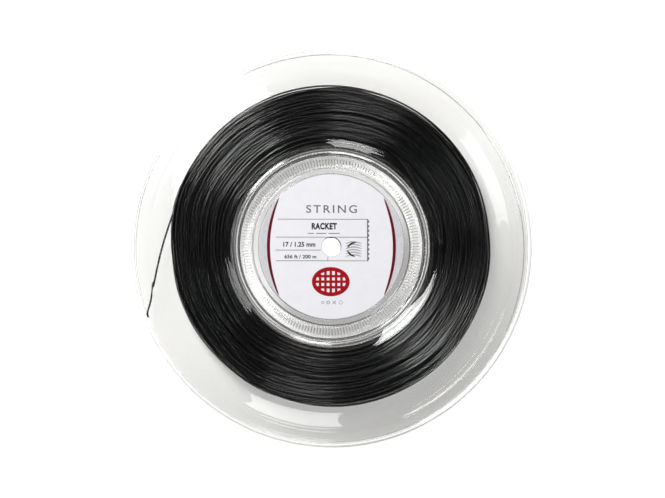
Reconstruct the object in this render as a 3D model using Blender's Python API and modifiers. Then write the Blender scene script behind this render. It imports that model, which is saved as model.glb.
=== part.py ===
"""String reel for racket stringing.

Two clear side discs, turned towards each other, plug into a hub core. The core carries the wound string.
Each disc is one moulding, modelled as three bodies that fit together with a hairline gap: the flange with its
stepped band and rim bead, the hub wall that plugs into the core, and the hub web with the spindle hole.

The reel lies on its rear disc. Its axis is +Z and the front label faces up. Profiles are drawn about the
reel's middle plane, as (radius, height) in millimetres, and every object has its origin on the axis there.
"""

import math

import bmesh
import bpy
from mathutils import Vector

MM = 0.001

# Driving dimensions, in millimetres.
RIM_R = 131.0  # outer radius of the reel
HALF_THICK = 11.7  # middle plane to either outer face
FLANGE_THICK = 1.7
BAND_IN_R = 119.4  # where the outer band begins
BAND_OUTER_Z = 10.0
BAND_THICK = 1.6
BEAD_WIDE = 1.8
BEAD_LOW_Z = 8.0
SWEEP_IN_R = 103.2  # the flange sweeps down towards the band between these radii
SWEEP_OUT_R = 118.2
SWEEP_DROP = 1.2
SHOULDER_R = 75.0  # the flat of the flange ends here and rounds over into the hub
SHOULDER_LOW_Z = 5.9
CUP_R = 61.4  # recess wall
WALL_THICK = 1.5
CUP_FILLET = 1.6
SHELF_Z = 6.5  # the disc's shelf that sits over the end of the core
CORE_OUT_R = 65.2
CORE_IN_R = 63.4
CORE_HALF = 6.1
RIBS_Z = 3.5  # top of the ribbed ring
RIBS_IN_R = 52.0
PLATEAU_Z = 4.9
POCKET_R = 48.0
POCKET_Z = 4.3
WEB_LOW_Z = 1.9
WEB_INNER_LOW_Z = 2.8
SPINDLE_R = 6.25
LABEL_R = 47.4
LABEL_HOLE_R = 6.6
LABEL_THICK = 0.2
PACK_R = 103.8  # outer radius of the winding
PACK_CORNER = 2.8
STRING_D = 1.25
GAP = 0.3  # between touching solids

SLOT_LONG = 6.4
SLOT_WIDE = 2.0
SLOT_CENTRE = (-118.7, -39.0)  # where the string goes through the front band
SLOT_ANGLE = math.radians(75.2)

SEGMENTS = 60

# The free end of the string, from where it leaves the winding to its tip: (x, y, height).
FREE_ROUTE = (
    (-90.72, 52.38, 3.0),
    (-94.15, 45.92, 3.2),
    (-97.2, 39.24, 3.5),
    (-99.9, 32.4, 3.8),
    (-102.1, 26.0, 4.1),
    (-106.4, 13.4, 4.8),
    (-110.4, 0.4, 5.6),
    (-113.6, -13.0, 6.3),
    (-116.0, -25.0, 6.9),
    (-117.35, -32.6, 7.35),
    (-117.78, -35.1, 7.48),
    (-118.22, -37.07, 7.86),
    (-118.7, -39.0, 9.2),
    (-119.21, -40.93, 10.55),
    (-119.72, -42.87, 11.0),
    (-119.85, -45.0, 11.02),
    (-119.2, -46.6, 11.02),
)
SLOT_RUN = 10  # the route's point where the free run ends and the threaded end begins

# Each finish: colour, roughness, transmission.
FINISHES = {
    "clear plastic": ((0.93, 0.93, 0.92, 1.0), 0.06, 1.0),
    "label paper": ((0.86, 0.85, 0.88, 1.0), 0.45, 0.0),
    "black string": ((0.012, 0.012, 0.013, 1.0), 0.22, 0.0),
}


def clear_scene():
    for obj in list(bpy.data.objects):
        bpy.data.objects.remove(obj, do_unlink=True)


def new_collection(name, hidden=False):
    collection = bpy.data.collections.new(name)
    collection.hide_render = hidden
    bpy.context.scene.collection.children.link(collection)
    return collection


def material(part, finish):
    """A Principled material of the part's own, from the table of finishes."""
    colour, roughness, transmission = FINISHES[finish]
    made = bpy.data.materials.new(f"{part} {finish}")
    made.use_nodes = True
    shader = made.node_tree.nodes["Principled BSDF"]
    shader.inputs["Base Color"].default_value = colour
    shader.inputs["Roughness"].default_value = roughness
    shader.inputs["Metallic"].default_value = 0.0
    shader.inputs["Transmission Weight"].default_value = transmission
    return made


def facing(side, profile):
    """The profile as drawn for the front (+1), or turned over for the rear (-1)."""
    if side > 0:
        return profile
    return [(r, -z) for r, z in reversed(profile)]


def turned(name, profile, finish, parent):
    """A solid turned about the reel's axis from a closed profile, outer side running downwards."""
    points = [(r * MM, 0.0, z * MM) for r, z in profile]
    edges = [(i, (i + 1) % len(points)) for i in range(len(points))]
    mesh = bpy.data.meshes.new(name)
    mesh.from_pydata(points, edges, [])
    obj = bpy.data.objects.new(name, mesh)
    obj.parent = parent
    parts.objects.link(obj)
    turn = obj.modifiers.new("turn", "SCREW")
    turn.axis = "Z"
    turn.angle = math.tau
    turn.steps = SEGMENTS
    turn.render_steps = SEGMENTS
    turn.use_merge_vertices = True
    turn.merge_threshold = 0.00002
    turn.use_smooth_shade = True
    mesh.materials.append(material(name, finish))
    return obj


def quarter(centre_r, centre_z, reach, rise, from_r, steps):
    """Points on the shoulder's ellipse, from from_r out to its top."""
    start = math.asin((centre_r - from_r) / reach)
    angles = [start * (1 - i / steps) for i in range(steps + 1)]
    return [(centre_r - reach * math.sin(a), centre_z + rise * math.cos(a)) for a in angles]


def sweep(from_r, to_r, top_z, drop, steps):
    """Points on the flange's S-shaped fall towards the band, ends included."""
    shares = [i / steps for i in range(steps + 1)]
    return [
        (from_r + (to_r - from_r) * s, top_z - drop * (1 - math.cos(math.pi * s)) / 2) for s in shares
    ]


def flange_profile():
    """Flange from the shoulder out to the rim bead."""
    inner_r = CORE_OUT_R + 2 * GAP
    bead_in_r = RIM_R - BEAD_WIDE
    band_low_z = BAND_OUTER_Z - BAND_THICK
    outer_face = quarter(
        SHOULDER_R, SHOULDER_LOW_Z, SHOULDER_R - CUP_R, HALF_THICK - SHOULDER_LOW_Z, inner_r, 4
    )
    outer_face += sweep(SWEEP_IN_R, SWEEP_OUT_R, HALF_THICK, SWEEP_DROP, 4)
    outer_face += [
        (BAND_IN_R, HALF_THICK - SWEEP_DROP),
        (BAND_IN_R + 0.3, BAND_OUTER_Z),
        (bead_in_r - 1.2, BAND_OUTER_Z),
        (bead_in_r - 0.1, BAND_OUTER_Z + 0.6),
        (bead_in_r + 0.4, HALF_THICK),
    ]
    rim = [
        (RIM_R - 0.4, HALF_THICK),
        (RIM_R, HALF_THICK - 0.5),
        (RIM_R, BEAD_LOW_Z + 0.4),
        (RIM_R - 0.4, BEAD_LOW_Z),
        (bead_in_r + 0.2, BEAD_LOW_Z),
        (bead_in_r - 0.2, band_low_z),
    ]
    channel_z = HALF_THICK - FLANGE_THICK
    channel_face = sweep(SWEEP_IN_R, SWEEP_OUT_R, channel_z, channel_z - band_low_z, 3)[::-1]
    shelf_top_z = SHELF_Z + GAP
    shoulder = quarter(
        SHOULDER_R, shelf_top_z, SHOULDER_R - inner_r, channel_z - shelf_top_z, inner_r, 4
    )
    return outer_face + rim + channel_face + shoulder[::-1]


def wall_profile():
    """Hub wall: the rest of the shoulder, the recess wall and the plug that enters the core."""
    floor_r = CUP_R - CUP_FILLET
    floor_z = RIBS_Z - 0.1
    plug_r = CUP_R + WALL_THICK
    outer_r = CORE_OUT_R + GAP
    fillet = [
        (floor_r, floor_z),
        (floor_r + 0.7 * CUP_FILLET, floor_z + 0.3 * CUP_FILLET),
        (CUP_R, floor_z + CUP_FILLET),
    ]
    rise = quarter(
        SHOULDER_R, SHOULDER_LOW_Z, SHOULDER_R - CUP_R, HALF_THICK - SHOULDER_LOW_Z, CUP_R, 8
    )
    rise = [(r, z) for r, z in rise if r < outer_r - 0.4]
    top_z = SHOULDER_LOW_Z + (HALF_THICK - SHOULDER_LOW_Z) * math.sqrt(
        1 - ((SHOULDER_R - outer_r) / (SHOULDER_R - CUP_R)) ** 2
    )
    plug = [
        (outer_r, top_z),
        (outer_r, SHELF_Z),
        (plug_r, SHELF_Z),
        (plug_r, WEB_LOW_Z),
        (floor_r, WEB_LOW_Z),
    ]
    return fillet + rise + plug


def web_profile():
    """Hub web: ribbed ring, raised plateau, label pocket and spindle hole."""
    rim_r = CUP_R - CUP_FILLET - GAP
    return [
        (SPINDLE_R, POCKET_Z),
        (POCKET_R, POCKET_Z),
        (POCKET_R, PLATEAU_Z),
        (RIBS_IN_R - 0.4, PLATEAU_Z),
        (RIBS_IN_R, RIBS_Z),
        (rim_r, RIBS_Z),
        (rim_r, WEB_LOW_Z),
        (RIBS_IN_R + 0.4, WEB_LOW_Z),
        (RIBS_IN_R - 0.6, WEB_INNER_LOW_Z),
        (SPINDLE_R, WEB_INNER_LOW_Z),
    ]


def label_profile():
    low_z = POCKET_Z + GAP
    high_z = low_z + LABEL_THICK
    return [(LABEL_HOLE_R, high_z), (LABEL_R, high_z), (LABEL_R, low_z), (LABEL_HOLE_R, low_z)]


def core_profile():
    return [
        (CORE_IN_R, CORE_HALF),
        (CORE_OUT_R, CORE_HALF),
        (CORE_OUT_R, -CORE_HALF),
        (CORE_IN_R, -CORE_HALF),
    ]


def pack_profile():
    """The winding's outline: it fills the channel, with a rounded outer edge."""
    inner_r = CORE_OUT_R + GAP
    high_z = HALF_THICK - FLANGE_THICK - GAP
    foot_z = SHELF_Z - GAP
    upper = [
        (inner_r, foot_z),
        (inner_r + 2.6, foot_z + 0.6 * (high_z - foot_z)),
        (SHOULDER_R - 3.5, high_z - 0.2),
        (SHOULDER_R, high_z),
        (PACK_R - PACK_CORNER, high_z),
        (PACK_R - 0.3 * PACK_CORNER, high_z - 0.3 * PACK_CORNER),
        (PACK_R, high_z - PACK_CORNER),
    ]
    return upper + [(r, -z) for r, z in reversed(upper)]


def slot_cutter():
    """A long hole with round ends: a flat outline, extruded, made a mesh."""
    straight = (SLOT_LONG - SLOT_WIDE) / 2
    radius = SLOT_WIDE / 2
    steps = 8
    outline = []
    for end in (1, -1):
        for i in range(steps + 1):
            a = math.pi * (i / steps - 0.5) + (0 if end > 0 else math.pi)
            outline.append((end * straight + radius * math.cos(a), radius * math.sin(a)))
    curve = bpy.data.curves.new("slot_outline", "CURVE")
    curve.dimensions = "2D"
    curve.fill_mode = "BOTH"
    curve.extrude = 4 * MM
    spline = curve.splines.new("POLY")
    spline.points.add(len(outline) - 1)
    for point, (x, y) in zip(spline.points, outline):
        point.co = (x * MM, y * MM, 0, 1)
    spline.use_cyclic_u = True
    guide = bpy.data.objects.new("slot_outline", curve)
    cutters.objects.link(guide)
    guide.location = (SLOT_CENTRE[0] * MM, SLOT_CENTRE[1] * MM, BAND_OUTER_Z * MM)
    guide.rotation_euler.z = SLOT_ANGLE
    return meshed(guide, "slot_cutter")


def meshed(guide, name):
    """The curve object as a mesh object with welded caps, in its place."""
    bpy.context.view_layer.update()
    graph = bpy.context.evaluated_depsgraph_get()
    mesh = bpy.data.meshes.new_from_object(guide.evaluated_get(graph))
    work = bmesh.new()
    work.from_mesh(mesh)
    bmesh.ops.remove_doubles(work, verts=work.verts, dist=0.000001)
    bmesh.ops.recalc_face_normals(work, faces=work.faces)
    work.to_mesh(mesh)
    work.free()
    obj = bpy.data.objects.new(name, mesh)
    obj.matrix_world = guide.matrix_world.copy()
    obj.hide_render = True
    obj.display_type = "WIRE"
    cutters.objects.link(obj)
    bpy.data.objects.remove(guide, do_unlink=True)
    return obj


def smooth_route(points, spacing):
    """Points about spacing apart on the Catmull-Rom curve through the given ones."""
    given = [Vector(p) for p in points]
    given = [2 * given[0] - given[1]] + given + [2 * given[-1] - given[-2]]
    found = [given[1]]
    for a, b, c, d in zip(given, given[1:], given[2:], given[3:]):
        steps = max(1, round((c - b).length / spacing))
        square = a * 2 - b * 5 + c * 4 - d
        cube = b * 3 - a - c * 3 + d
        for i in range(1, steps + 1):
            t = i / steps
            found.append((b * 2 + (c - a) * t + square * t**2 + cube * t**3) / 2)
    return found


def string_run(name, points, parent):
    """A round length of string along the points."""
    curve = bpy.data.curves.new(name, "CURVE")
    curve.dimensions = "3D"
    curve.bevel_depth = STRING_D / 2 * MM
    curve.bevel_resolution = 2
    curve.use_fill_caps = True
    spline = curve.splines.new("POLY")
    spline.points.add(len(points) - 1)
    for point, place in zip(spline.points, points):
        point.co = (*(place * MM), 1)
    spline.use_smooth = True
    obj = bpy.data.objects.new(name, curve)
    obj.parent = parent
    parts.objects.link(obj)
    curve.materials.append(material(name, "black string"))
    return obj


def make_free_string(winding, front):
    """The free run lies under the front flange; the threaded end goes up through the slot."""
    run = smooth_route(FREE_ROUTE[: SLOT_RUN + 1], 3.0)
    string_run("string_tail", run, winding)
    end = smooth_route(FREE_ROUTE[SLOT_RUN:], 0.8)
    along = (end[1] - end[0]).normalized()
    end[0] = end[0] + along * GAP
    string_run("string_end", end, front)


def make_disc(side, name, parent):
    """One side disc: flange, hub wall, hub web and label."""
    flange = turned(f"{name}_flange", facing(side, flange_profile()), "clear plastic", parent)
    turned(f"{name}_hub_wall", facing(side, wall_profile()), "clear plastic", parent)
    turned(f"{name}_hub_web", facing(side, web_profile()), "clear plastic", parent)
    turned(f"{name}_label", facing(side, label_profile()), "label paper", parent)
    return flange


def body_axis(name):
    """An empty on the reel's axis, in the middle plane, that a body's parts hang on."""
    axis = bpy.data.objects.new(name, None)
    axis.empty_display_size = 0.02
    axis.location = (0, 0, HALF_THICK * MM)
    parts.objects.link(axis)
    return axis


clear_scene()
parts = new_collection("string_reel")
cutters = new_collection("cutters", hidden=True)

rear_axis = body_axis("rear_disc_axis")
winding_axis = body_axis("winding_axis")
front_axis = body_axis("front_disc_axis")

make_disc(-1, "rear", rear_axis)
turned("hub_core", core_profile(), "clear plastic", winding_axis)
turned("string_pack", pack_profile(), "black string", winding_axis)
front_flange = make_disc(1, "front", front_axis)

slot = slot_cutter()
slot.parent = front_axis
cut = front_flange.modifiers.new("threading slot", "BOOLEAN")
cut.operation = "DIFFERENCE"
cut.object = slot

make_free_string(winding_axis, front_axis)
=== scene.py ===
"""The looks of the string reel: clear discs, printed labels, 200 m of wound string and its free end.

Profiles are (radius, height) in millimetres about the reel's middle plane, as in the CAD model. The driving
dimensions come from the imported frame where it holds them.
"""

import math

import bmesh
import bpy
import numpy as np
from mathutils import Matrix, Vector


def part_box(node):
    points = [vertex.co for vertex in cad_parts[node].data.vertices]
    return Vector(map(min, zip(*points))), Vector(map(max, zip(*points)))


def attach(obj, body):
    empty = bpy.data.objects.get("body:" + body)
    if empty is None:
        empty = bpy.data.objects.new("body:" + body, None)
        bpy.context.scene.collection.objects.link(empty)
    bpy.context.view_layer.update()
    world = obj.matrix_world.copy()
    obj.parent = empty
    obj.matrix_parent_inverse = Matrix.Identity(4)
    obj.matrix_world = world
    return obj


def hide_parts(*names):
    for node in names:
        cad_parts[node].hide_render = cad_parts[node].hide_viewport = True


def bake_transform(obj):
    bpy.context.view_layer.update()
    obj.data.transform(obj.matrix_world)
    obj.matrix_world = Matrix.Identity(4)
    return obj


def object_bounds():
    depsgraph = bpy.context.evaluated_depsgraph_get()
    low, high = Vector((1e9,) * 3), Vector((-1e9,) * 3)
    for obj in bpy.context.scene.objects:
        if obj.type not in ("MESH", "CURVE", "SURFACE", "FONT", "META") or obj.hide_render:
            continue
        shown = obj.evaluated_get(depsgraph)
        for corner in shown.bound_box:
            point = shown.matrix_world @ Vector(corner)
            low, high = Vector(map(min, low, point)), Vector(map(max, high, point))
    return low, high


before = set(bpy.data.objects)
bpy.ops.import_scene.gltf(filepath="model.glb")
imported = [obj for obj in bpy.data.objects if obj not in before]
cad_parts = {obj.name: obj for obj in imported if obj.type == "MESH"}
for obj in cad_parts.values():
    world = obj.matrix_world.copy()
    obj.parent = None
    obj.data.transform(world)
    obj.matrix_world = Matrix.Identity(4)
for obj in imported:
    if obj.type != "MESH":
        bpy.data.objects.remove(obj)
CAD_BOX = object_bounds()

MM = 0.001


def cad_radius(node):
    """Outer radius of a turned node, in millimetres."""
    low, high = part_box(node)
    return (high.x - low.x) / 2 / MM


HALF_THICK = (CAD_BOX[1].z - CAD_BOX[0].z) / 2 / MM
MID = Vector((0.0, 0.0, HALF_THICK * MM))
RIM_R = cad_radius("front_flange")
CORE_OUT_R = cad_radius("hub_core")
CORE_HALF = (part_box("hub_core")[1].z - MID.z) / MM
LABEL_R = cad_radius("front_label")

# The side disc's section, in millimetres.
FLANGE_THICK = 1.7
BAND_IN_R = 119.4
BAND_OUTER_Z = 10.0
BAND_LOW_Z = 8.4
BEAD_WIDE = 1.8
BEAD_LOW_Z = 8.0
SWEEP_IN_R = 103.2
SWEEP_OUT_R = 118.2
SWEEP_DROP = 0.75
SHOULDER_R = 75.0
SHOULDER_LOW_Z = 5.9
CUP_R = 61.4
PLUG_R = 62.9
CUP_FILLET = 1.6
SHELF_Z = 6.5
SHELF_R = CORE_OUT_R + 0.6
FLOOR_Z = 3.2
RIB_HIGH = 0.42
RIBS = 180
RIBS_IN_R = 52.0
PLATEAU_Z = 4.9
POCKET_R = 48.0
POCKET_Z = 4.3
WEB_LOW_Z = 1.9
WEB_INNER_LOW_Z = 2.8
SPINDLE_R = 6.25
CORE_IN_R = 63.4
LABEL_HOLE_R = 6.5
LABEL_LOW_Z = POCKET_Z + 0.02
LABEL_THICK = 0.16
INK_GAP = 0.004  # between the paper and the ink
# How thick each printed layer lies. No two layers that cross each other are level.
INK_THICK = {
    "shade": 0.008,
    "pale_grey": 0.012,
    "grey": 0.016,
    "black": 0.02,
    "red": 0.02,
    "red_down": 0.016,
    "red_across": 0.012,
    "dark_red": 0.02,
}

# The string.
STRING_D = 1.25
STRING_LENGTH = 200000.0
PACK_EXIT_ANGLE = math.radians(150)
# The free end, from where it leaves the winding to its tip: (x, y, height), as in the CAD model.
FREE_ROUTE = (
    (-90.72, 52.38, 3.0),
    (-94.15, 45.92, 3.2),
    (-97.2, 39.24, 3.5),
    (-99.9, 32.4, 3.8),
    (-102.1, 26.0, 4.1),
    (-106.4, 13.4, 4.8),
    (-110.4, 0.4, 5.6),
    (-113.6, -13.0, 6.3),
    (-116.0, -25.0, 6.9),
    (-117.35, -32.6, 7.35),
    (-117.78, -35.1, 7.48),
    (-118.22, -37.07, 7.86),
    (-118.7, -39.0, 9.2),
    (-119.21, -40.93, 10.55),
    (-119.72, -42.87, 11.0),
    (-119.85, -45.0, 11.02),
    (-119.2, -46.6, 11.02),
)
SLOT_CENTRE = (-118.7, -39.0)
SLOT_ANGLE = math.radians(75.2)
SLOT_LONG = 6.4
SLOT_WIDE = 2.0
CUTTER_LOW_Z = 6.0
CUTTER_HIGH = 8.0


# ---------------------------------------------------------------- camera

CAMERA_AWAY = 1.5  # metres from the front face
CAMERA_TILT = math.radians(4.5)
CAMERA_SIDE = math.radians(232)  # which way the camera leans off the axis
FRAME_WIDE = 0.4335  # what the picture's width spans at the front face
AIM = (0.0003, -0.002)


def make_camera():
    data = bpy.data.cameras.new("camera")
    data.sensor_width = 36.0
    data.lens = 36.0 * CAMERA_AWAY / FRAME_WIDE
    data.clip_start = 0.05
    data.clip_end = 20.0
    camera = bpy.data.objects.new("camera", data)
    bpy.context.scene.collection.objects.link(camera)
    target = Vector((AIM[0], AIM[1], CAD_BOX[1].z))
    lean = math.sin(CAMERA_TILT)
    back = Vector((lean * math.cos(CAMERA_SIDE), lean * math.sin(CAMERA_SIDE), math.cos(CAMERA_TILT)))
    camera.location = target + back * CAMERA_AWAY
    # The picture's up is the reel's +Y, so the camera is turned by the shortest way from looking down.
    camera.rotation_mode = "QUATERNION"
    camera.rotation_quaternion = Vector((0, 0, 1)).rotation_difference(back)
    bpy.context.scene.camera = camera


# ---------------------------------------------------------------- materials


def new_material(name):
    made = bpy.data.materials.new(name)
    made.use_nodes = True
    return made, made.node_tree.nodes, made.node_tree.links


def noise(nodes, links, scale, detail=2.0, stretch=(1, 1, 1)):
    """A noise texture in object coordinates, stretched."""
    place = nodes.new("ShaderNodeTexCoord")
    mapping = nodes.new("ShaderNodeMapping")
    mapping.inputs["Scale"].default_value = stretch
    texture = nodes.new("ShaderNodeTexNoise")
    texture.inputs["Scale"].default_value = scale
    texture.inputs["Detail"].default_value = detail
    links.new(place.outputs["Object"], mapping.inputs["Vector"])
    links.new(mapping.outputs["Vector"], texture.inputs["Vector"])
    return texture


def ranged(nodes, links, source, low, high, taken=(0.0, 1.0)):
    """The source, over the taken range, as low to high."""
    spread = nodes.new("ShaderNodeMapRange")
    spread.inputs["From Min"].default_value, spread.inputs["From Max"].default_value = taken
    spread.inputs["To Min"].default_value = low
    spread.inputs["To Max"].default_value = high
    links.new(source, spread.inputs["Value"])
    return spread.outputs["Result"]


def mottled(nodes, links, source, dark, light, taken):
    """A colour from dark to light as the source goes over the taken range."""
    ramp = nodes.new("ShaderNodeValToRGB")
    for stop, position, colour in zip(ramp.color_ramp.elements, taken, (dark, light)):
        stop.position = position
        stop.color = (*colour, 1)
    links.new(source, ramp.inputs["Fac"])
    return ramp.outputs["Color"]


def maths(nodes, links, operation, first, second):
    made = nodes.new("ShaderNodeMath")
    made.operation = operation
    links.new(first, made.inputs[0])
    links.new(second, made.inputs[1])
    return made.outputs[0]


def bump(nodes, links, height, distance, strength):
    """A normal raised by the height; the distance is in metres."""
    made = nodes.new("ShaderNodeBump")
    made.inputs["Distance"].default_value = distance
    made.inputs["Strength"].default_value = strength
    links.new(height, made.inputs["Height"])
    return made.outputs["Normal"]


def clear_plastic():
    """Clear polystyrene: lamps shine through it, and faint handling scuffs vary its gloss."""
    made, nodes, links = new_material("clear_polystyrene")
    shader = nodes["Principled BSDF"]
    shader.inputs["Base Color"].default_value = (0.975, 0.973, 0.965, 1)
    shader.inputs["Transmission Weight"].default_value = 1.0
    shader.inputs["IOR"].default_value = 1.52
    scuffs = noise(nodes, links, 900.0, 3.0, (1.0, 0.35, 1.0))
    links.new(ranged(nodes, links, scuffs.outputs["Fac"], 0.005, 0.03), shader.inputs["Roughness"])
    flow = noise(nodes, links, 22.0, 1.0)
    links.new(bump(nodes, links, flow.outputs["Fac"], 0.00012, 0.25), shader.inputs["Normal"])
    passing = nodes.new("ShaderNodeBsdfTransparent")
    passing.inputs["Color"].default_value = (0.96, 0.96, 0.957, 1)
    path = nodes.new("ShaderNodeLightPath")
    mix = nodes.new("ShaderNodeMixShader")
    links.new(path.outputs["Is Shadow Ray"], mix.inputs[0])
    links.new(shader.outputs[0], mix.inputs[1])
    links.new(passing.outputs[0], mix.inputs[2])
    links.new(mix.outputs[0], nodes["Material Output"].inputs["Surface"])
    return made


def black_string():
    """Glossy black monofilament with faint drawing lines."""
    made, nodes, links = new_material("black_monofilament")
    shader = nodes["Principled BSDF"]
    shader.inputs["Base Color"].default_value = (0.0015, 0.0015, 0.0017, 1)
    shader.inputs["IOR"].default_value = 1.5
    wear = noise(nodes, links, 160.0, 3.0)
    # Any glossier, and the denoiser takes the strands for one mirror and smears them.
    links.new(ranged(nodes, links, wear.outputs["Fac"], 0.276, 0.29), shader.inputs["Roughness"])
    shader.inputs["Specular IOR Level"].default_value = 0.17
    shader.inputs["Coat Weight"].default_value = 1.0
    shader.inputs["Coat Roughness"].default_value = 0.04
    grain = noise(nodes, links, 2600.0, 2.0)
    links.new(bump(nodes, links, grain.outputs["Fac"], 0.00001, 0.15), shader.inputs["Normal"])
    return made


def label_paper():
    """Coated label stock: a cool white with fine fibre mottling."""
    made, nodes, links = new_material("label_stock")
    shader = nodes["Principled BSDF"]
    mottle = noise(nodes, links, 130.0, 4.0).outputs["Fac"]
    white = mottled(nodes, links, mottle, (0.79, 0.78, 0.82), (0.82, 0.81, 0.85), (0.3, 0.7))
    links.new(white, shader.inputs["Base Color"])
    shader.inputs["Roughness"].default_value = 0.42
    fibre = noise(nodes, links, 1900.0, 3.0)
    links.new(bump(nodes, links, fibre.outputs["Fac"], 0.00002, 0.3), shader.inputs["Normal"])
    return made


def ink(name, colour, roughness=0.35):
    """Printing ink, a little uneven in its cover."""
    made, nodes, links = new_material(name)
    shader = nodes["Principled BSDF"]
    cover = noise(nodes, links, 700.0, 3.0).outputs["Fac"]
    full, thin = [c * 0.9 for c in colour], [c * 1.1 for c in colour]
    links.new(mottled(nodes, links, cover, full, thin, (0.25, 0.75)), shader.inputs["Base Color"])
    shader.inputs["Roughness"].default_value = roughness
    shader.inputs["Specular IOR Level"].default_value = 0.15
    return made


# The floor's zones of painted glow and painted shade, in metres. They lie about the point that the camera
# sees beneath the rim's centre.
FLOOR_CENTRE = (0.0011, 0.0014, 0.0)
FLOOR_HOLE_EDGE = (0.009, 0.0095)
FLOOR_RIM_EDGE = (0.1326, 0.1332)
# Under the reel the floor is painted lighter towards upper left and painted shade towards lower right.
FLOOR_PAINTED_LIGHT_SIDE = math.radians(120)
FLOOR_PAINTED_SHADE_FALL = (-0.12, 0.01)  # from the dim side to the bright side


def floor_painted_glow_and_shade():
    """A white sheet with painted glow around the reel and in its hole, and painted shade under it away from
    upper left.
    """
    made, nodes, links = new_material("floor_with_painted_glow_and_shade")
    shader = nodes["Principled BSDF"]
    place = nodes.new("ShaderNodeTexCoord").outputs["Object"]
    away = nodes.new("ShaderNodeVectorMath")
    away.operation = "DISTANCE"
    away.inputs[1].default_value = FLOOR_CENTRE
    links.new(place, away.inputs[0])
    distance = away.outputs["Value"]
    fall = nodes.new("ShaderNodeVectorMath")
    fall.operation = "DOT_PRODUCT"
    fall.inputs[1].default_value = (math.cos(FLOOR_PAINTED_LIGHT_SIDE), math.sin(FLOOR_PAINTED_LIGHT_SIDE), 0)
    links.new(place, fall.inputs[0])
    painted_light_share = ranged(nodes, links, fall.outputs["Value"], 0, 1, FLOOR_PAINTED_SHADE_FALL)
    outside = ranged(nodes, links, distance, 0, 1, FLOOR_RIM_EDGE)
    inside = ranged(nodes, links, distance, 1, 0, FLOOR_HOLE_EDGE)
    painted_glow_zones = maths(nodes, links, "MAXIMUM", outside, inside)

    # Painted shade: the sheet's colour is darker under the reel away from upper left, and white where it
    # glows.
    painted_shade_tone = nodes.new("ShaderNodeMix")
    painted_shade_tone.data_type = "RGBA"
    painted_shade_tone.inputs["A"].default_value = (0.6, 0.6, 0.595, 1)
    painted_shade_tone.inputs["B"].default_value = (0.93, 0.93, 0.93, 1)
    links.new(maths(nodes, links, "MAXIMUM", painted_light_share, painted_glow_zones), painted_shade_tone.inputs["Factor"])
    links.new(painted_shade_tone.outputs["Result"], shader.inputs["Base Color"])
    shader.inputs["Roughness"].default_value = 0.9
    shader.inputs["Specular IOR Level"].default_value = 0.1

    # Painted glow: under the reel it grows with the bright side and the radius, and on the dim side by the
    # winding, where painted light evens out the winding's shadow.
    painted_glow_by_winding = nodes.new("ShaderNodeMix")
    links.new(painted_light_share, painted_glow_by_winding.inputs["Factor"])
    links.new(ranged(nodes, links, distance, 0.22, 0.0, (0.108, 0.122)), painted_glow_by_winding.inputs["A"])
    painted_glow_by_winding.inputs["B"].default_value = 0.0
    painted_glow_under_reel = maths(nodes, links, "ADD", ranged(nodes, links, painted_light_share, 0.12, 0.26), painted_glow_by_winding.outputs["Result"])
    painted_glow_under_reel = maths(nodes, links, "ADD", painted_glow_under_reel, ranged(nodes, links, distance, 0.0, 0.13, (0.07, 0.1)))
    # Painted glow, though the floor is no lamp: strongest in the hole, and even around the reel.
    glow = nodes.new("ShaderNodeMix")
    links.new(painted_glow_zones, glow.inputs["Factor"])
    links.new(painted_glow_under_reel, glow.inputs["A"])
    links.new(ranged(nodes, links, distance, 1.2, 0.34, FLOOR_HOLE_EDGE), glow.inputs["B"])
    shader.inputs["Emission Color"].default_value = (1, 1, 1, 1)
    links.new(glow.outputs["Result"], shader.inputs["Emission Strength"])
    return made


# ---------------------------------------------------------------- meshes


def new_piece(name, mesh, finish, angle=math.radians(32)):
    """An object of the mesh, shaded smooth but for corners sharper than the angle."""
    mesh.shade_smooth()
    mesh.set_sharp_from_angle(angle=angle)
    mesh.materials.append(finish)
    piece = bpy.data.objects.new(name, mesh)
    bpy.context.scene.collection.objects.link(piece)
    return piece


def mesh_of(name, points, faces):
    """A mesh from an array of points and an array of four-cornered faces."""
    mesh = bpy.data.meshes.new(name)
    mesh.vertices.add(len(points))
    mesh.vertices.foreach_set("co", np.asarray(points, np.float32).ravel())
    mesh.loops.add(faces.size)
    mesh.loops.foreach_set("vertex_index", faces.astype(np.int32).ravel())
    mesh.polygons.add(len(faces))
    mesh.polygons.foreach_set("loop_start", np.arange(0, faces.size, 4, dtype=np.int32))
    mesh.update(calc_edges=True)
    mesh.validate()
    return mesh


def face_outwards(mesh):
    work = bmesh.new()
    work.from_mesh(mesh)
    bmesh.ops.recalc_face_normals(work, faces=work.faces)
    work.to_mesh(mesh)
    work.free()


def grid_faces(rows, columns, wrap_rows, wrap_columns):
    """Four-cornered faces over rows x columns points, joined up at the ends where asked."""
    i = np.arange(rows if wrap_rows else rows - 1)
    j = np.arange(columns if wrap_columns else columns - 1)
    i, j = np.meshgrid(i, j, indexing="ij")
    i2, j2 = (i + 1) % rows, (j + 1) % columns
    corners = [i * columns + j, i2 * columns + j, i2 * columns + j2, i * columns + j2]
    return np.stack([c.ravel() for c in corners], axis=1)


def lathe(name, profile, finish, side=1, segments=720, ripple=None):
    """The closed profile turned about the reel's axis; side -1 turns it over.

    ripple(r, z, angle) adds height.
    """
    r, z = np.array(profile, float).T
    angle = np.arange(segments) * math.tau / segments
    r, z, angle = r[:, None], z[:, None], angle[None, :]
    high = z + (ripple(r, z, angle) if ripple else 0 * angle)
    x, y = r * np.cos(angle), r * np.sin(angle)
    points = np.stack([x * side, y, high * side], axis=2).reshape(-1, 3) * MM + np.array(MID)
    return new_piece(name, mesh_of(name, points, grid_faces(len(profile), segments, True, True)), finish)


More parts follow.
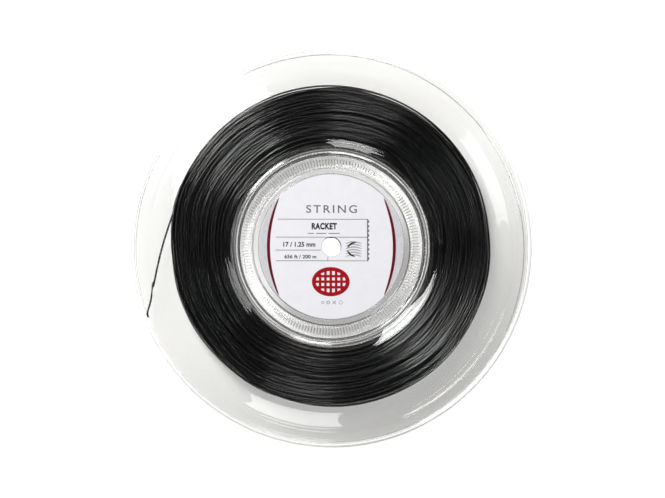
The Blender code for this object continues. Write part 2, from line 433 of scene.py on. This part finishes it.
def arc(centre_r, centre_z, radius, start, end, steps):
    """Points on a circular arc, angles in degrees, anticlockwise from +r."""
    angles = [math.radians(start + (end - start) * i / steps) for i in range(steps + 1)]
    return [(centre_r + radius * math.cos(a), centre_z + radius * math.sin(a)) for a in angles]


def quarter(centre_r, centre_z, reach, rise, from_r, steps):
    """Points on the shoulder's ellipse, from from_r out to its top."""
    start = math.asin(min(1.0, (centre_r - from_r) / reach))
    angles = [start * (1 - i / steps) for i in range(steps + 1)]
    return [(centre_r - reach * math.sin(a), centre_z + rise * math.cos(a)) for a in angles]


def eased(start, end, steps):
    """Points that leave start level, fall or rise in an S and reach end level."""
    (r1, z1), (r2, z2) = start, end
    shares = [i / steps for i in range(steps + 1)]
    return [(r1 + (r2 - r1) * s, z1 + (z2 - z1) * (1 - math.cos(math.pi * s)) / 2) for s in shares]


# ---------------------------------------------------------------- side discs


def flange_profile():
    """Flange, shoulder and hub wall as one closed section."""
    floor_r = CUP_R - CUP_FILLET
    bead_in_r = RIM_R - BEAD_WIDE
    channel_z = HALF_THICK - FLANGE_THICK
    step_z = HALF_THICK - SWEEP_DROP
    recess = arc(floor_r, FLOOR_Z + CUP_FILLET, CUP_FILLET, -90, 0, 6)
    recess += quarter(SHOULDER_R, SHOULDER_LOW_Z, SHOULDER_R - CUP_R, HALF_THICK - SHOULDER_LOW_Z, CUP_R, 20)
    band = eased((SWEEP_OUT_R + 0.3, step_z), (BAND_IN_R + 2.0, BAND_OUTER_Z), 8)
    band += arc(bead_in_r - 1.5, BAND_OUTER_Z + 1.4, 1.4, -90, -15, 6)
    rim = arc(bead_in_r + 0.5, HALF_THICK - 0.3, 0.3, 150, 90, 3)
    rim += arc(RIM_R - 0.5, HALF_THICK - 0.5, 0.5, 90, 0, 5)
    rim += arc(RIM_R - 0.4, BEAD_LOW_Z + 0.4, 0.4, 0, -90, 4)
    rim += arc(bead_in_r + 0.3, BEAD_LOW_Z + 0.3, 0.3, -90, -140, 2)
    channel = [(bead_in_r - 0.3, BAND_LOW_Z)]
    channel += eased((SWEEP_IN_R, channel_z), (BAND_IN_R + 2.1, BAND_LOW_Z), 20)[::-1]
    low_z = SHELF_Z + 0.3
    channel += quarter(SHOULDER_R, low_z, SHOULDER_R - SHELF_R, channel_z - low_z, SHELF_R, 12)[::-1]
    plug = [(CORE_OUT_R + 0.3, SHELF_Z), (PLUG_R + 0.2, SHELF_Z), (PLUG_R, SHELF_Z - 0.2)]
    plug += [(PLUG_R, WEB_LOW_Z + 0.4), (PLUG_R - 0.4, WEB_LOW_Z), (floor_r, WEB_LOW_Z)]
    sweep = eased((SWEEP_IN_R, HALF_THICK), (SWEEP_OUT_R, step_z), 18)
    return recess + sweep + band + rim + channel + plug


def web_profile():
    """Web with its ribbed ring, plateau, label pocket and spindle hole."""
    rim_r = CUP_R - CUP_FILLET - 0.06
    ribs = [(r, FLOOR_Z) for r in np.linspace(RIBS_IN_R + 0.5, rim_r - 0.1, 8)]
    top = [(SPINDLE_R, POCKET_Z - 0.2), (SPINDLE_R + 0.2, POCKET_Z), (POCKET_R - 0.2, POCKET_Z)]
    top += arc(POCKET_R + 0.3, PLATEAU_Z - 0.3, 0.3, 180, 90, 4)
    top += eased((RIBS_IN_R - 1.1, PLATEAU_Z), (RIBS_IN_R + 0.45, FLOOR_Z), 10)[:-1]
    under = [(rim_r, FLOOR_Z), (rim_r, WEB_LOW_Z), (RIBS_IN_R + 0.4, WEB_LOW_Z)]
    under += [(RIBS_IN_R - 0.6, WEB_INNER_LOW_Z), (SPINDLE_R + 0.2, WEB_INNER_LOW_Z)]
    under += [(SPINDLE_R, WEB_INNER_LOW_Z + 0.2)]
    return top + ribs + under


def rib_ripple(r, z, angle):
    """Fine radial ribs on the floor of the cup, fading out at the ring's edges."""
    inner = np.clip((r - RIBS_IN_R - 0.4) / 0.5, 0, 1)
    outer = np.clip((CUP_R - CUP_FILLET - 0.1 - r) / 0.6, 0, 1)
    on_floor = np.abs(z - FLOOR_Z) < 0.01
    groove = (0.5 + 0.5 * np.cos(angle * RIBS)) ** 2
    return RIB_HIGH * inner * outer * on_floor * (1 - groove)


def slot_cutter():
    """A long hole with round ends, through the front band."""
    straight, radius, steps = (SLOT_LONG - SLOT_WIDE) / 2, SLOT_WIDE / 2, 12
    shape = bmesh.new()
    outline = []
    for end in (1, -1):
        for i in range(steps + 1):
            a = math.pi * (i / steps - 0.5) + (0 if end > 0 else math.pi)
            along, across = end * straight + radius * math.cos(a), radius * math.sin(a)
            x = SLOT_CENTRE[0] + along * math.cos(SLOT_ANGLE) - across * math.sin(SLOT_ANGLE)
            y = SLOT_CENTRE[1] + along * math.sin(SLOT_ANGLE) + across * math.cos(SLOT_ANGLE)
            outline.append(shape.verts.new(Vector((x, y, CUTTER_LOW_Z)) * MM + MID))
    face = shape.faces.new(outline)
    face.normal_update()
    if face.normal.z > 0:
        face.normal_flip()
    made = bmesh.ops.extrude_face_region(shape, geom=[face])["geom"]
    top = [v for v in made if isinstance(v, bmesh.types.BMVert)]
    bmesh.ops.translate(shape, verts=top, vec=(0, 0, CUTTER_HIGH * MM))
    bmesh.ops.recalc_face_normals(shape, faces=shape.faces)
    mesh = bpy.data.meshes.new("slot_cutter")
    shape.to_mesh(mesh)
    shape.free()
    cutter = bpy.data.objects.new("slot_cutter", mesh)
    bpy.context.scene.collection.objects.link(cutter)
    return cutter


def cut_slot(piece):
    """Cuts the threading slot and keeps the result as the piece's mesh."""
    cutter = slot_cutter()
    cut = piece.modifiers.new("slot", "BOOLEAN")
    cut.operation = "DIFFERENCE"
    cut.solver = "EXACT"
    cut.object = cutter
    bpy.context.view_layer.update()
    graph = bpy.context.evaluated_depsgraph_get()
    mesh = bpy.data.meshes.new_from_object(piece.evaluated_get(graph))
    piece.modifiers.clear()
    piece.data = mesh
    bpy.data.objects.remove(cutter)


def make_disc(name, side, finish):
    """One clear moulding: its flange and wall, and its ribbed web."""
    body = name + "_disc"
    flange = lathe(name + "_disc_flange", flange_profile(), finish, side)
    web = lathe(name + "_disc_web", web_profile(), finish, side, 1440, rib_ripple)
    if side > 0:
        cut_slot(flange)
    for piece in (flange, web):
        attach(piece, body)
    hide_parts(name + "_flange", name + "_hub_wall")
    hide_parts(name + "_hub_web")


def make_core(finish):
    outer, inner, half = CORE_OUT_R, CORE_IN_R, CORE_HALF
    profile = arc(inner + 0.3, half - 0.3, 0.3, 180, 90, 3) + arc(outer - 0.3, half - 0.3, 0.3, 90, 0, 3)
    profile += [(r, -z) for r, z in reversed(profile)]
    core = lathe("hub_core_tube", profile, finish, 1, 360)
    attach(core, "winding")
    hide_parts("hub_core")


# ---------------------------------------------------------------- labels


def tapered(full, tip, power=0.5):
    """A stroke's width along it: full in the middle, narrowing to the tip's at both ends."""
    return lambda t: full * (4 * t * (1 - t)) ** power + tip


class LabelArt:
    """Draws flat printed shapes on a label, in millimetres from its centre, x to the right and y up."""

    def __init__(self, name, side, body):
        self.name, self.side, self.body = name, side, body
        self.low = LABEL_LOW_Z + LABEL_THICK + INK_GAP
        self.layers = {}

    def place(self, points, layer):
        """Flat points set on the label's face, and again at the top of the ink."""
        low = [Vector((x * self.side, y, self.low * self.side)) * MM + MID for x, y in points]
        rise = Vector((0, 0, INK_THICK[layer] * self.side)) * MM
        high = [p + rise for p in low]
        return low, high

    def solid(self, layer, outlines, tris):
        """Adds a thin solid on an ink layer, from flat outlines and the triangles that fill them."""
        points, faces = self.layers.setdefault(layer, ([], []))
        flat = [p for outline in outlines for p in outline]
        low, high = self.place(flat, layer)
        first, count = len(points), len(flat)
        points.extend(low + high)
        for a, b, c in tris:
            faces.append((first + c, first + b, first + a))
            faces.append((first + count + a, first + count + b, first + count + c))
        at = first
        for outline in outlines:
            n = len(outline)
            for i in range(n):
                j = (i + 1) % n
                faces.append((at + i, at + j, at + j + count, at + i + count))
            at += n

    def strip(self, layer, left, right):
        """A band between two lines of points with the same count, left running along on its left side."""
        outline = right + left[::-1]
        n = len(right)
        tris = []
        for i in range(n - 1):
            a, b, c, d = i, i + 1, 2 * n - 2 - i, 2 * n - 1 - i
            tris += [(a, b, c), (a, c, d)]
        self.solid(layer, [outline], tris)

    def line(self, layer, start, end, wide):
        (x1, y1), (x2, y2) = start, end
        length = math.hypot(x2 - x1, y2 - y1)
        nx, ny = -(y2 - y1) / length * wide / 2, (x2 - x1) / length * wide / 2
        self.strip(layer, [(x1 + nx, y1 + ny), (x2 + nx, y2 + ny)], [(x1 - nx, y1 - ny), (x2 - nx, y2 - ny)])

    def curve(self, layer, points, wide):
        """A stroke along the points; wide is its width, or a function of how far along it is."""
        left, right = [], []
        n = len(points)
        for i, (x, y) in enumerate(points):
            ax, ay = points[max(i - 1, 0)]
            bx, by = points[min(i + 1, n - 1)]
            length = math.hypot(bx - ax, by - ay)
            w = (wide(i / (n - 1)) if callable(wide) else wide) / 2
            nx, ny = -(by - ay) / length * w, (bx - ax) / length * w
            left.append((x + nx, y + ny))
            right.append((x - nx, y - ny))
        self.strip(layer, left, right)

    def ring(self, layer, centre, radius, wide, steps=64):
        """A closed round stroke."""
        angles = [math.tau * i / steps for i in range(steps)]
        outer = [(centre[0] + radius * math.cos(a), centre[1] + radius * math.sin(a)) for a in angles]
        inner_r = radius - wide
        inner = [(centre[0] + inner_r * math.cos(a), centre[1] + inner_r * math.sin(a)) for a in angles]
        tris = []
        for i in range(steps):
            j = (i + 1) % steps
            tris += [(i, j, steps + j), (i, steps + j, steps + i)]
        self.solid(layer, [outer, inner], tris)

    def words(self, layer, text, left, base, wide, tall, weight=0.0, spacing=1.0):
        """Plain lettering fitted to the given width and height, its foot on base."""
        curve = bpy.data.curves.new("words", "FONT")
        curve.body = text
        curve.size = 1.0
        curve.offset = weight
        curve.space_character = spacing
        curve.resolution_u = 6
        curve.fill_mode = "BOTH"
        curve.extrude = 0.5
        holder = bpy.data.objects.new("words", curve)
        bpy.context.scene.collection.objects.link(holder)
        bpy.context.view_layer.update()
        graph = bpy.context.evaluated_depsgraph_get()
        mesh = bpy.data.meshes.new_from_object(holder.evaluated_get(graph))
        work = bmesh.new()
        work.from_mesh(mesh)
        bmesh.ops.remove_doubles(work, verts=work.verts, dist=0.0001)
        co = np.array([v.co for v in work.verts])
        low, high = co.min(0), co.max(0)
        points, faces = self.layers.setdefault(layer, ([], []))
        first = len(points)
        for v in work.verts:
            x = left + (v.co.x - low[0]) / (high[0] - low[0]) * wide
            y = base + (v.co.y - low[1]) / (high[1] - low[1]) * tall
            z = self.low + (INK_THICK[layer] if v.co.z > 0 else 0)
            points.append(Vector((x * self.side, y, z * self.side)) * MM + MID)
        work.verts.index_update()
        for face in work.faces:
            faces.append(tuple(first + v.index for v in face.verts))
        work.free()
        bpy.data.objects.remove(holder)
        bpy.data.curves.remove(curve)

    def finish(self, inks):
        """Makes each ink layer's piece."""
        for layer, (points, faces) in self.layers.items():
            mesh = bpy.data.meshes.new(f"{self.name}_{layer}")
            mesh.from_pydata(points, [], faces)
            face_outwards(mesh)
            piece = new_piece(f"{self.name}_{layer}", mesh, inks[layer])
            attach(piece, self.body)


SIDE_ARC = (41.3, 34.4, 32.2)  # a side arc's x at its middle and at its ends, and its half height


def draw_side_arcs(art):
    """The two tapered arcs, and the slightly greyer label outside them."""
    middle_x, end_x, half_high = SIDE_ARC
    shares = [i / 32 * 2 - 1 for i in range(33)]
    edge_r = LABEL_R - 0.1
    for way in (1, -1):
        points = [(way * (end_x + (middle_x - end_x) * (1 - s * s)), half_high * s) for s in shares]
        edge = [(way * math.sqrt(edge_r**2 - y * y), y) for _, y in points]
        left, right = (points, edge) if way > 0 else (edge, points)
        art.strip("shade", left, right)
        art.curve("dark_red", points, tapered(2.0, 0.05, 0.45))


def draw_table(art):
    """A ticket-shaped table: thin rules, a perforated right edge, sizes at the left."""
    right = 24.2
    rules = ((18.0, -35.1, right), (6.2, -36.5, right - 0.7), (-2.3, -36.7, -7.0), (-9.3, -36.3, right))
    for y, start, end in rules:
        art.line("grey", (start, y), (end, y), 0.42)
    art.line("grey", (right - 0.5, 18.2), (right - 0.5, -9.5), 0.8)
    teeth = 9
    pitch = 27.3 / teeth
    for i in range(teeth):
        y = 18.0 - pitch * (i + 0.5)
        points = [(right - 0.1, y - 1.0), (right + 0.35, y - 0.75), (right + 0.75, y)]
        points += [(right + 0.35, y + 0.75), (right - 0.1, y + 1.0)]
        art.solid("grey", [points], [(0, k, k + 1) for k in range(1, 4)])
    art.line("grey", (-2.4, -6.9), (-2.4, -9.3), 0.4)
    art.words("black", "RACKET", -13.0, 11.2, 16.6, 4.4, 0.05, 1.1)
    for start, wide in ((-15.6, 4.2), (-10.0, 6.6), (-2.0, 7.4)):
        art.line("grey", (start, 8.7), (start + wide, 8.7), 0.55)
    art.words("black", "17 / 1.25 mm", -31.6, -0.2, 21.0, 3.3, 0.035, 1.05)
    art.words("black", "656 ft / 200 m", -30.8, -7.8, 20.8, 2.5, 0.03, 1.05)


def draw_string_picture(art):
    """A small picture of two loops of string over wavy lines, beside the hole."""
    shares = [i / 12 for i in range(13)]
    for k in range(6):
        y = 2.6 - 1.7 * k
        points = [(9.0 + 11.0 * s, y + 1.3 * math.sin(math.pi * s) - 0.7) for s in shares]
        art.curve("pale_grey", points, tapered(0.9, 0.08))
    for centre_y, low, high in ((-2.6, 92, 160), (-1.0, 195, 262)):
        loop = [
            (16.4 + 6.2 * math.cos(a), centre_y + 5.4 * math.sin(a))
            for a in [math.radians(low + (high - low) * i / 20) for i in range(21)]
        ]
        art.curve("black", loop, tapered(1.0, 0.15))


def draw_racket_head(art):
    """A plain racket head lying on its side, with its string bed, in red."""
    centre, reach, rise, stroke, steps = (-0.5, -23.0), 12.4, 9.6, 2.6, 96
    around = [math.tau * i / steps for i in range(steps + 1)]
    oval = [
        (centre[0] + (reach - stroke / 2) * math.cos(a), centre[1] + (rise - stroke / 2) * math.sin(a))
        for a in around
    ]
    half = len(oval) // 2
    art.curve("red", oval[: half + 1], stroke)
    art.curve("red", oval[half:], stroke)
    inner_x, inner_y = reach - stroke + 0.2, rise - stroke + 0.2
    for i in range(-2, 3):
        x = i * 3.5
        y = inner_y * math.sqrt(1 - (x / inner_x) ** 2)
        art.line("red_down", (centre[0] + x, centre[1] - y), (centre[0] + x, centre[1] + y), 1.7)
    for i in range(-1, 2):
        y = i * 3.6
        x = inner_x * math.sqrt(1 - (y / inner_y) ** 2)
        art.line("red_across", (centre[0] - x, centre[1] + y), (centre[0] + x, centre[1] + y), 1.7)


def draw_icons(art):
    """Four tiny plain marks under the racket head."""
    y = -36.6
    art.ring("grey", (-5.9, y), 0.9, 0.3, 20)
    art.ring("grey", (-2.2, y), 1.15, 0.4, 20)
    art.line("grey", (0.6, y - 1.1), (2.8, y + 1.1), 0.4)
    art.line("grey", (0.6, y + 1.1), (2.8, y - 1.1), 0.4)
    art.ring("grey", (6.0, y), 1.5, 0.3, 4)


def make_label(name, side, finish, inks):
    """A paper disc in the web's pocket, and its print."""
    low_z, high_z = LABEL_LOW_Z, LABEL_LOW_Z + LABEL_THICK
    profile = [(LABEL_HOLE_R, low_z), (LABEL_HOLE_R, high_z - 0.04), (LABEL_HOLE_R + 0.04, high_z)]
    profile += [(r, high_z) for r in (16.0, 27.0, 38.0)]
    profile += [(LABEL_R - 0.04, high_z), (LABEL_R, high_z - 0.04), (LABEL_R, low_z)]
    label = lathe(name + "_label_disc", profile, finish, side, 240)
    body = name + "_disc"
    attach(label, body)
    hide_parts(name + "_label")
    art = LabelArt(name + "_print", side, body)
    draw_side_arcs(art)
    draw_table(art)
    draw_string_picture(art)
    draw_racket_head(art)
    draw_icons(art)
    art.words("grey", "STRING", -16.6, 22.1, 33.4, 5.2, 0.012, 1.3)
    art.finish(inks)


# ---------------------------------------------------------------- string

BINS = 120  # points round one turn
CAPACITY = 80  # how many turns back a strand may rest on
FIRST_Z = -5.5
TRAVERSE = 1.22  # usual sideways travel in one turn, mm
LEAST_TRAVEL = 0.2
SPREAD = 0.15  # of the travel, as a share of it
JUMP_CHANCE = 0.025
JUMP = (2.5, 5.0)  # a jump's travel, in usual ones
SLIDE = 0.9  # how far a strand may slip into a valley, mm
SLIDE_TRIES = 13
SLIDE_COST = 0.02  # keeps a strand from slipping where it gains nothing
KNOTS = 10  # places round a turn where the slip is chosen
TIGHTENINGS = 60
LAYER_SHORT = 1.8  # how far short of the flange a layer may turn back, mm
EASE_BINS = 4
WANDER = 2.6  # how far strands by the flanges stray, mm
WANDER_KNOT = 0.28  # turns
WANDER_FROM = 5.6  # height where the straying begins, mm
WANDER_OVER = 2.0  # height over which it grows to the full, mm


def channel_half(r):
    """How far from the middle plane a strand's centre may lie at radius r."""
    rise = HALF_THICK - FLANGE_THICK - SHELF_Z - 0.3
    share = min(1.0, max(0.0, (SHOULDER_R - r) / (SHOULDER_R - SHELF_R)))
    return SHELF_Z + 0.3 + rise * math.sqrt(1 - share * share) - STRING_D / 2 - 0.1


def resting_r(z, held_r, held_z):
    """Radius at which a strand at height z first touches the strands already there, for each angle."""
    gap = np.abs(z[..., None] - held_z)
    lift = np.sqrt(np.maximum(STRING_D**2 - gap**2, 0))
    found = np.where(gap < STRING_D, held_r + lift, 0).max(axis=-1)
    return np.maximum(found, CORE_OUT_R + STRING_D / 2)


def pulled_tight(rest, start):
    """A taut strand: it touches the rest radii from above and runs straight between the high points."""
    turn = 2 * math.cos(math.tau / BINS)
    r = rest.copy()
    for _ in range(TIGHTENINGS):
        before = np.concatenate([[start], r[:-1]])
        after = np.concatenate([r[1:], r[-1:]])
        r = np.maximum(rest, turn * before * after / (before + after))
    return r


def wind():
    """The whole string, turn on turn: arrays of radius and height, BINS to a turn."""
    draw = np.random.default_rng(60)
    held_r = np.full((BINS, CAPACITY), -1e9)
    held_z = np.zeros((BINS, CAPACITY))
    offsets = np.linspace(-SLIDE, SLIDE, SLIDE_TRIES)
    stride = BINS // KNOTS
    z, way, length, turn, last_offset, short = FIRST_Z, 1.0, 0.0, 0, 0.0, 0.0
    start = CORE_OUT_R + STRING_D / 2
    all_r, all_z = [], []
    while length < STRING_LENGTH:
        limit = channel_half(start)
        travel = abs(draw.normal(TRAVERSE, SPREAD * TRAVERSE)) + LEAST_TRAVEL
        if draw.random() < JUMP_CHANCE:
            travel *= draw.uniform(*JUMP)
        path = np.empty(BINS)
        for i in range(BINS):
            z += way * travel / BINS
            if abs(z) > limit - short and z * way > 0:
                way = -way
                short = draw.uniform(0, LAYER_SHORT)
            path[i] = z
        path = np.clip(path, -limit, limit)
        tried = np.clip(path + offsets[:, None], -limit, limit)
        rest = resting_r(tried, held_r, held_z)
        chosen = [last_offset]
        for k in range(KNOTS):
            centre = (k + 1) * stride - 1
            near = np.arange(centre - stride // 2, centre + stride // 2 + 1) % BINS
            chosen.append(offsets[(rest[:, near].mean(axis=1) + SLIDE_COST * np.abs(offsets)).argmin()])
        last_offset = chosen[-1]
        slip = np.interp(np.arange(1, BINS + 1), np.arange(KNOTS + 1) * stride, chosen)
        heights = np.clip(path + slip, -limit, limit)
        radii = pulled_tight(resting_r(heights, held_r, held_z), start)
        held_r[:, turn % CAPACITY] = radii
        held_z[:, turn % CAPACITY] = heights
        all_r.append(radii)
        all_z.append(heights)
        length += float(radii.sum()) * math.tau / BINS
        start = radii[-1]
        turn += 1
    return eased_run(np.concatenate(all_r)), eased_run(np.concatenate(all_z))


def wandered(r, z):
    """The strands lying near either flange stray in and out, crossing over each other."""
    draw = np.random.default_rng(7)
    near = np.clip((np.abs(z) - WANDER_FROM) / WANDER_OVER, 0, 1)
    near = near * near * (3 - 2 * near)
    turns = np.arange(len(r)) / BINS
    knots = np.arange(0, turns[-1] + WANDER_KNOT, WANDER_KNOT)
    stray = np.interp(turns, knots, draw.normal(0, WANDER, len(knots)))
    stray = eased_run(eased_run(eased_run(stray)))
    inner = np.clip((r - CORE_OUT_R - 1.5) / 6, 0, 1)
    outer = np.clip((r.max() - 1.0 - r) / 5, 0, 1)
    moved = r + stray * near * inner * outer
    limits = np.array([channel_half(x) for x in moved])
    return moved, np.clip(z, -limits, limits)


def eased_run(values):
    """The values averaged over a few bins each way, as a stiff string evens out small steps."""
    weights = np.hanning(2 * EASE_BINS + 3)[1:-1]
    padded = np.concatenate([np.full(EASE_BINS, values[0]), values, np.full(EASE_BINS, values[-1])])
    return np.convolve(padded, weights / weights.sum(), "valid")


def wound_tube(name, r, z, angle, sides=8):
    """A tube along points given by radius, height and angle; its section lies in the plane of the axis."""
    a = np.arange(sides) * math.tau / sides
    ring_r = r[:, None] + STRING_D / 2 * np.cos(a)[None]
    ring_z = z[:, None] + STRING_D / 2 * np.sin(a)[None]
    x, y = ring_r * np.cos(angle)[:, None], ring_r * np.sin(angle)[:, None]
    points = np.stack([x, y, ring_z], axis=2).reshape(-1, 3) * MM + np.array(MID)
    faces = grid_faces(len(r), sides, False, True)[:, ::-1]
    return capped(name, points, faces, sides)


def capped(name, points, faces, sides):
    """A tube mesh of rings of points, closed at both ends with triangles and quads."""
    last = len(points) - sides
    caps = []
    for k in range(0, sides - 2, 2):
        caps.append((0, k + 1, k + 2, (k + 3) % sides))
        caps.append((last, last + (k + 3) % sides, last + k + 2, last + k + 1))
    mesh = mesh_of(name, points, np.concatenate([faces, np.array(caps)]))
    face_outwards(mesh)
    return mesh


WOUND_PARTS = 5
LEAD_BINS = 40  # how much of the winding's end is led to the free string


def make_winding(finish):
    """The wound string in consecutive lengths, the first against the core."""
    r, z = wandered(*wind())
    total = len(r)
    # The last stretch is led to where the free string starts.
    lead = np.clip(1 - (total - 1 - np.arange(total)) / LEAD_BINS, 0, 1)
    lead = lead * lead * (3 - 2 * lead)
    x, y, end_z = FREE_ROUTE[0]
    r = r * (1 - lead) + math.hypot(x, y) * lead
    z = z * (1 - lead) + end_z * lead
    angle = PACK_EXIT_ANGLE + (np.arange(total) - (total - 1)) * math.tau / BINS
    ends = np.linspace(0, total - 1, WOUND_PARTS + 1).astype(int)
    for k in range(WOUND_PARTS):
        span = slice(ends[k], ends[k + 1] + 1)
        name = f"wound_string_{k + 1}"
        piece = new_piece(name, wound_tube(name, r[span], z[span], angle[span]), finish, math.radians(60))
        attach(piece, "winding")
    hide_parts("string_pack")


def smooth_route(points, spacing):
    """Points about spacing apart on the Catmull-Rom curve through the given ones."""
    given = [Vector(p) for p in points]
    given = [2 * given[0] - given[1]] + given + [2 * given[-1] - given[-2]]
    found = [given[1]]
    for a, b, c, d in zip(given, given[1:], given[2:], given[3:]):
        steps = max(1, round((c - b).length / spacing))
        square = a * 2 - b * 5 + c * 4 - d
        cube = b * 3 - a - c * 3 + d
        for i in range(1, steps + 1):
            t = i / steps
            found.append((b * 2 + (c - a) * t + square * t**2 + cube * t**3) / 2)
    return found


def free_tube(name, path, sides=16):
    """A round tube along the path, its rings turned as little as possible from one to the next."""
    rings = []
    across = Vector((0, 0, 1))
    for i, place in enumerate(path):
        along = (path[min(i + 1, len(path) - 1)] - path[max(i - 1, 0)]).normalized()
        across = (across - along * across.dot(along)).normalized()
        other = along.cross(across)
        for k in range(sides):
            a = math.tau * k / sides
            rings.append((place + (across * math.cos(a) + other * math.sin(a)) * STRING_D / 2) * MM + MID)
    faces = grid_faces(len(path), sides, False, True)
    return capped(name, np.array(rings), faces, sides)


def make_free_string(finish):
    """The free end: off the winding, straight to the band, up through the slot."""
    path = smooth_route(FREE_ROUTE, 0.7)
    piece = new_piece("free_string", free_tube("free_string", path), finish, math.radians(60))
    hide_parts("string_tail", "string_end")
    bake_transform(piece)


# ---------------------------------------------------------------- stage


def make_floor():
    bpy.ops.mesh.primitive_plane_add(size=8.0, location=(0, 0, CAD_BOX[0].z - 0.0002))
    floor = bpy.context.object
    floor.name = "floor"
    floor.data.materials.append(floor_painted_glow_and_shade())


def soft_light(name, zenith, azimuth, away, wide, tall, power):
    """A rectangular lamp facing the reel, at angles in degrees from its axis and from +X.

    Its tall side lies along the radius.
    """
    data = bpy.data.lights.new(name, "AREA")
    data.shape = "RECTANGLE"
    data.size = wide
    data.size_y = tall
    data.energy = power
    lamp = bpy.data.objects.new(name, data)
    zenith, azimuth = math.radians(zenith), math.radians(azimuth)
    flat = math.sin(zenith)
    out = Vector((flat * math.cos(azimuth), flat * math.sin(azimuth), math.cos(zenith)))
    lamp.location = out * away
    lamp.rotation_mode = "QUATERNION"
    lamp.rotation_quaternion = out.to_track_quat("Z", "Y")
    bpy.context.scene.collection.objects.link(lamp)


def make_lights():
    soft_light("key_upper_left", 38, 126, 1.7, 0.5, 1.44, 31)
    soft_light("strip_below", 29, 262, 1.7, 0.4, 0.65, 6)
    soft_light("small_right", 34, 28, 1.7, 0.4, 0.45, 2.4)
    soft_light("fill_upper_left", 52, 90, 2.4, 2.0, 1.2, 3)
    world = bpy.data.worlds.new("studio")
    world.use_nodes = True
    sky = world.node_tree.nodes["Background"]
    sky.inputs["Color"].default_value = (0.9, 0.93, 1.0, 1)
    sky.inputs["Strength"].default_value = 0.015
    scene = bpy.context.scene
    scene.world = world
    scene.view_settings.view_transform = "Standard"
    # The discs already let lamps through, so caustics would light the floor twice.
    scene.cycles.caustics_refractive = False
    scene.cycles.caustics_reflective = False


# ---------------------------------------------------------------- build

make_camera()
monofilament = black_string()
make_free_string(monofilament)
make_winding(monofilament)
polystyrene = clear_plastic()
make_disc("front", 1, polystyrene)
make_disc("rear", -1, polystyrene)
make_core(polystyrene)
paper = label_paper()
RED = (0.36, 0.002, 0.008)
inks = {
    "black": ink("black_ink", (0.02, 0.02, 0.022)),
    "grey": ink("grey_ink", (0.16, 0.16, 0.165)),
    "shade": ink("shade_ink", (0.6, 0.595, 0.62)),
    "pale_grey": ink("pale_grey_ink", (0.42, 0.42, 0.43)),
    "red": ink("red_ink", RED, 0.3),
    "red_down": ink("red_ink_down", RED, 0.3),
    "red_across": ink("red_ink_across", RED, 0.3),
    "dark_red": ink("dark_red_ink", (0.12, 0.001, 0.01), 0.3),
}
make_label("front", 1, paper, inks)
make_label("rear", -1, paper, inks)
make_floor()
make_lights()
